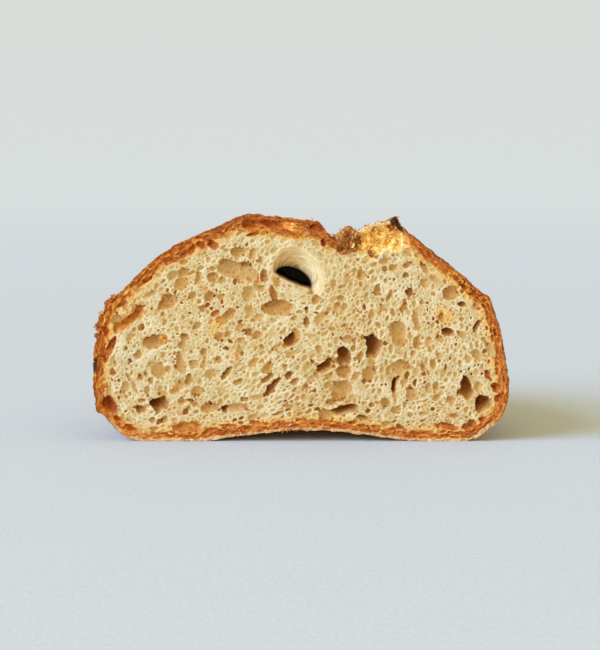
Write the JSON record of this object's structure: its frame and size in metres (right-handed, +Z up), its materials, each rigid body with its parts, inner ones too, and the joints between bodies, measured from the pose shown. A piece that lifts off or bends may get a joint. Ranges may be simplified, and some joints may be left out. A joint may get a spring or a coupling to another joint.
{
  "type": "half sourdough loaf",
  "caption": "Half a sourdough loaf standing on its base, cut across the middle to show an open, uneven crumb, with a thin browned crust and a torn score along its top.",
  "frame": {"origin": "the middle of the loaf's footprint, on the surface that it stands on", "axes": "+X along the loaf's width, to the right as one looks at the cut; +Y from the cut face to the rounded far end; +Z up"},
  "size_m": [0.18, 0.12, 0.0984],
  "materials": {
    "loaf": null
  },
  "bodies": {
    "root": {"loaf": "loaf"}
  },
  "joints": []
}
